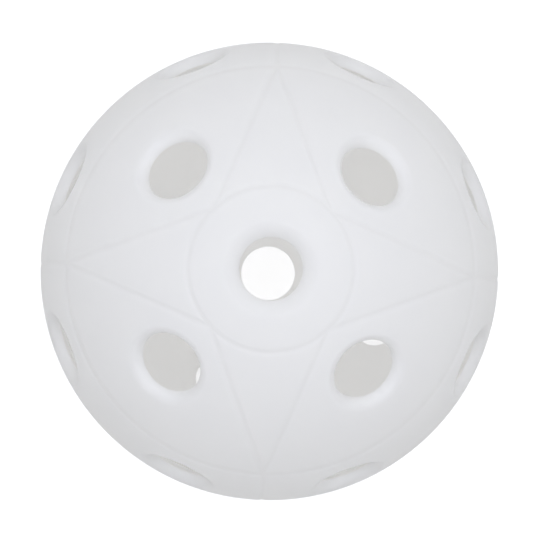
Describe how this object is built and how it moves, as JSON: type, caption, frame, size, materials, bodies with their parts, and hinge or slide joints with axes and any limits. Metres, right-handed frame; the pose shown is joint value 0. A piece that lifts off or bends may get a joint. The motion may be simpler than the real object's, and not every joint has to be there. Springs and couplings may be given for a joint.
{
  "type": "floorball ball",
  "caption": "Hollow white plastic sports ball of two welded half shells, pierced all over by round air holes with rounded edges.",
  "frame": {"origin": "centre of the ball", "axes": "+Z through the two polar holes, towards the half that faces the camera; +X and +Y along the tips of that half's star line"},
  "size_m": [0.072, 0.072, 0.0706],
  "materials": {
    "shell": "satin, as moulded",
    "weld": "satin, melted"
  },
  "bodies": {
    "root": {"front_half_shell": "shell", "rear_half_shell": "shell", "weld_bead": "weld"}
  },
  "joints": []
}
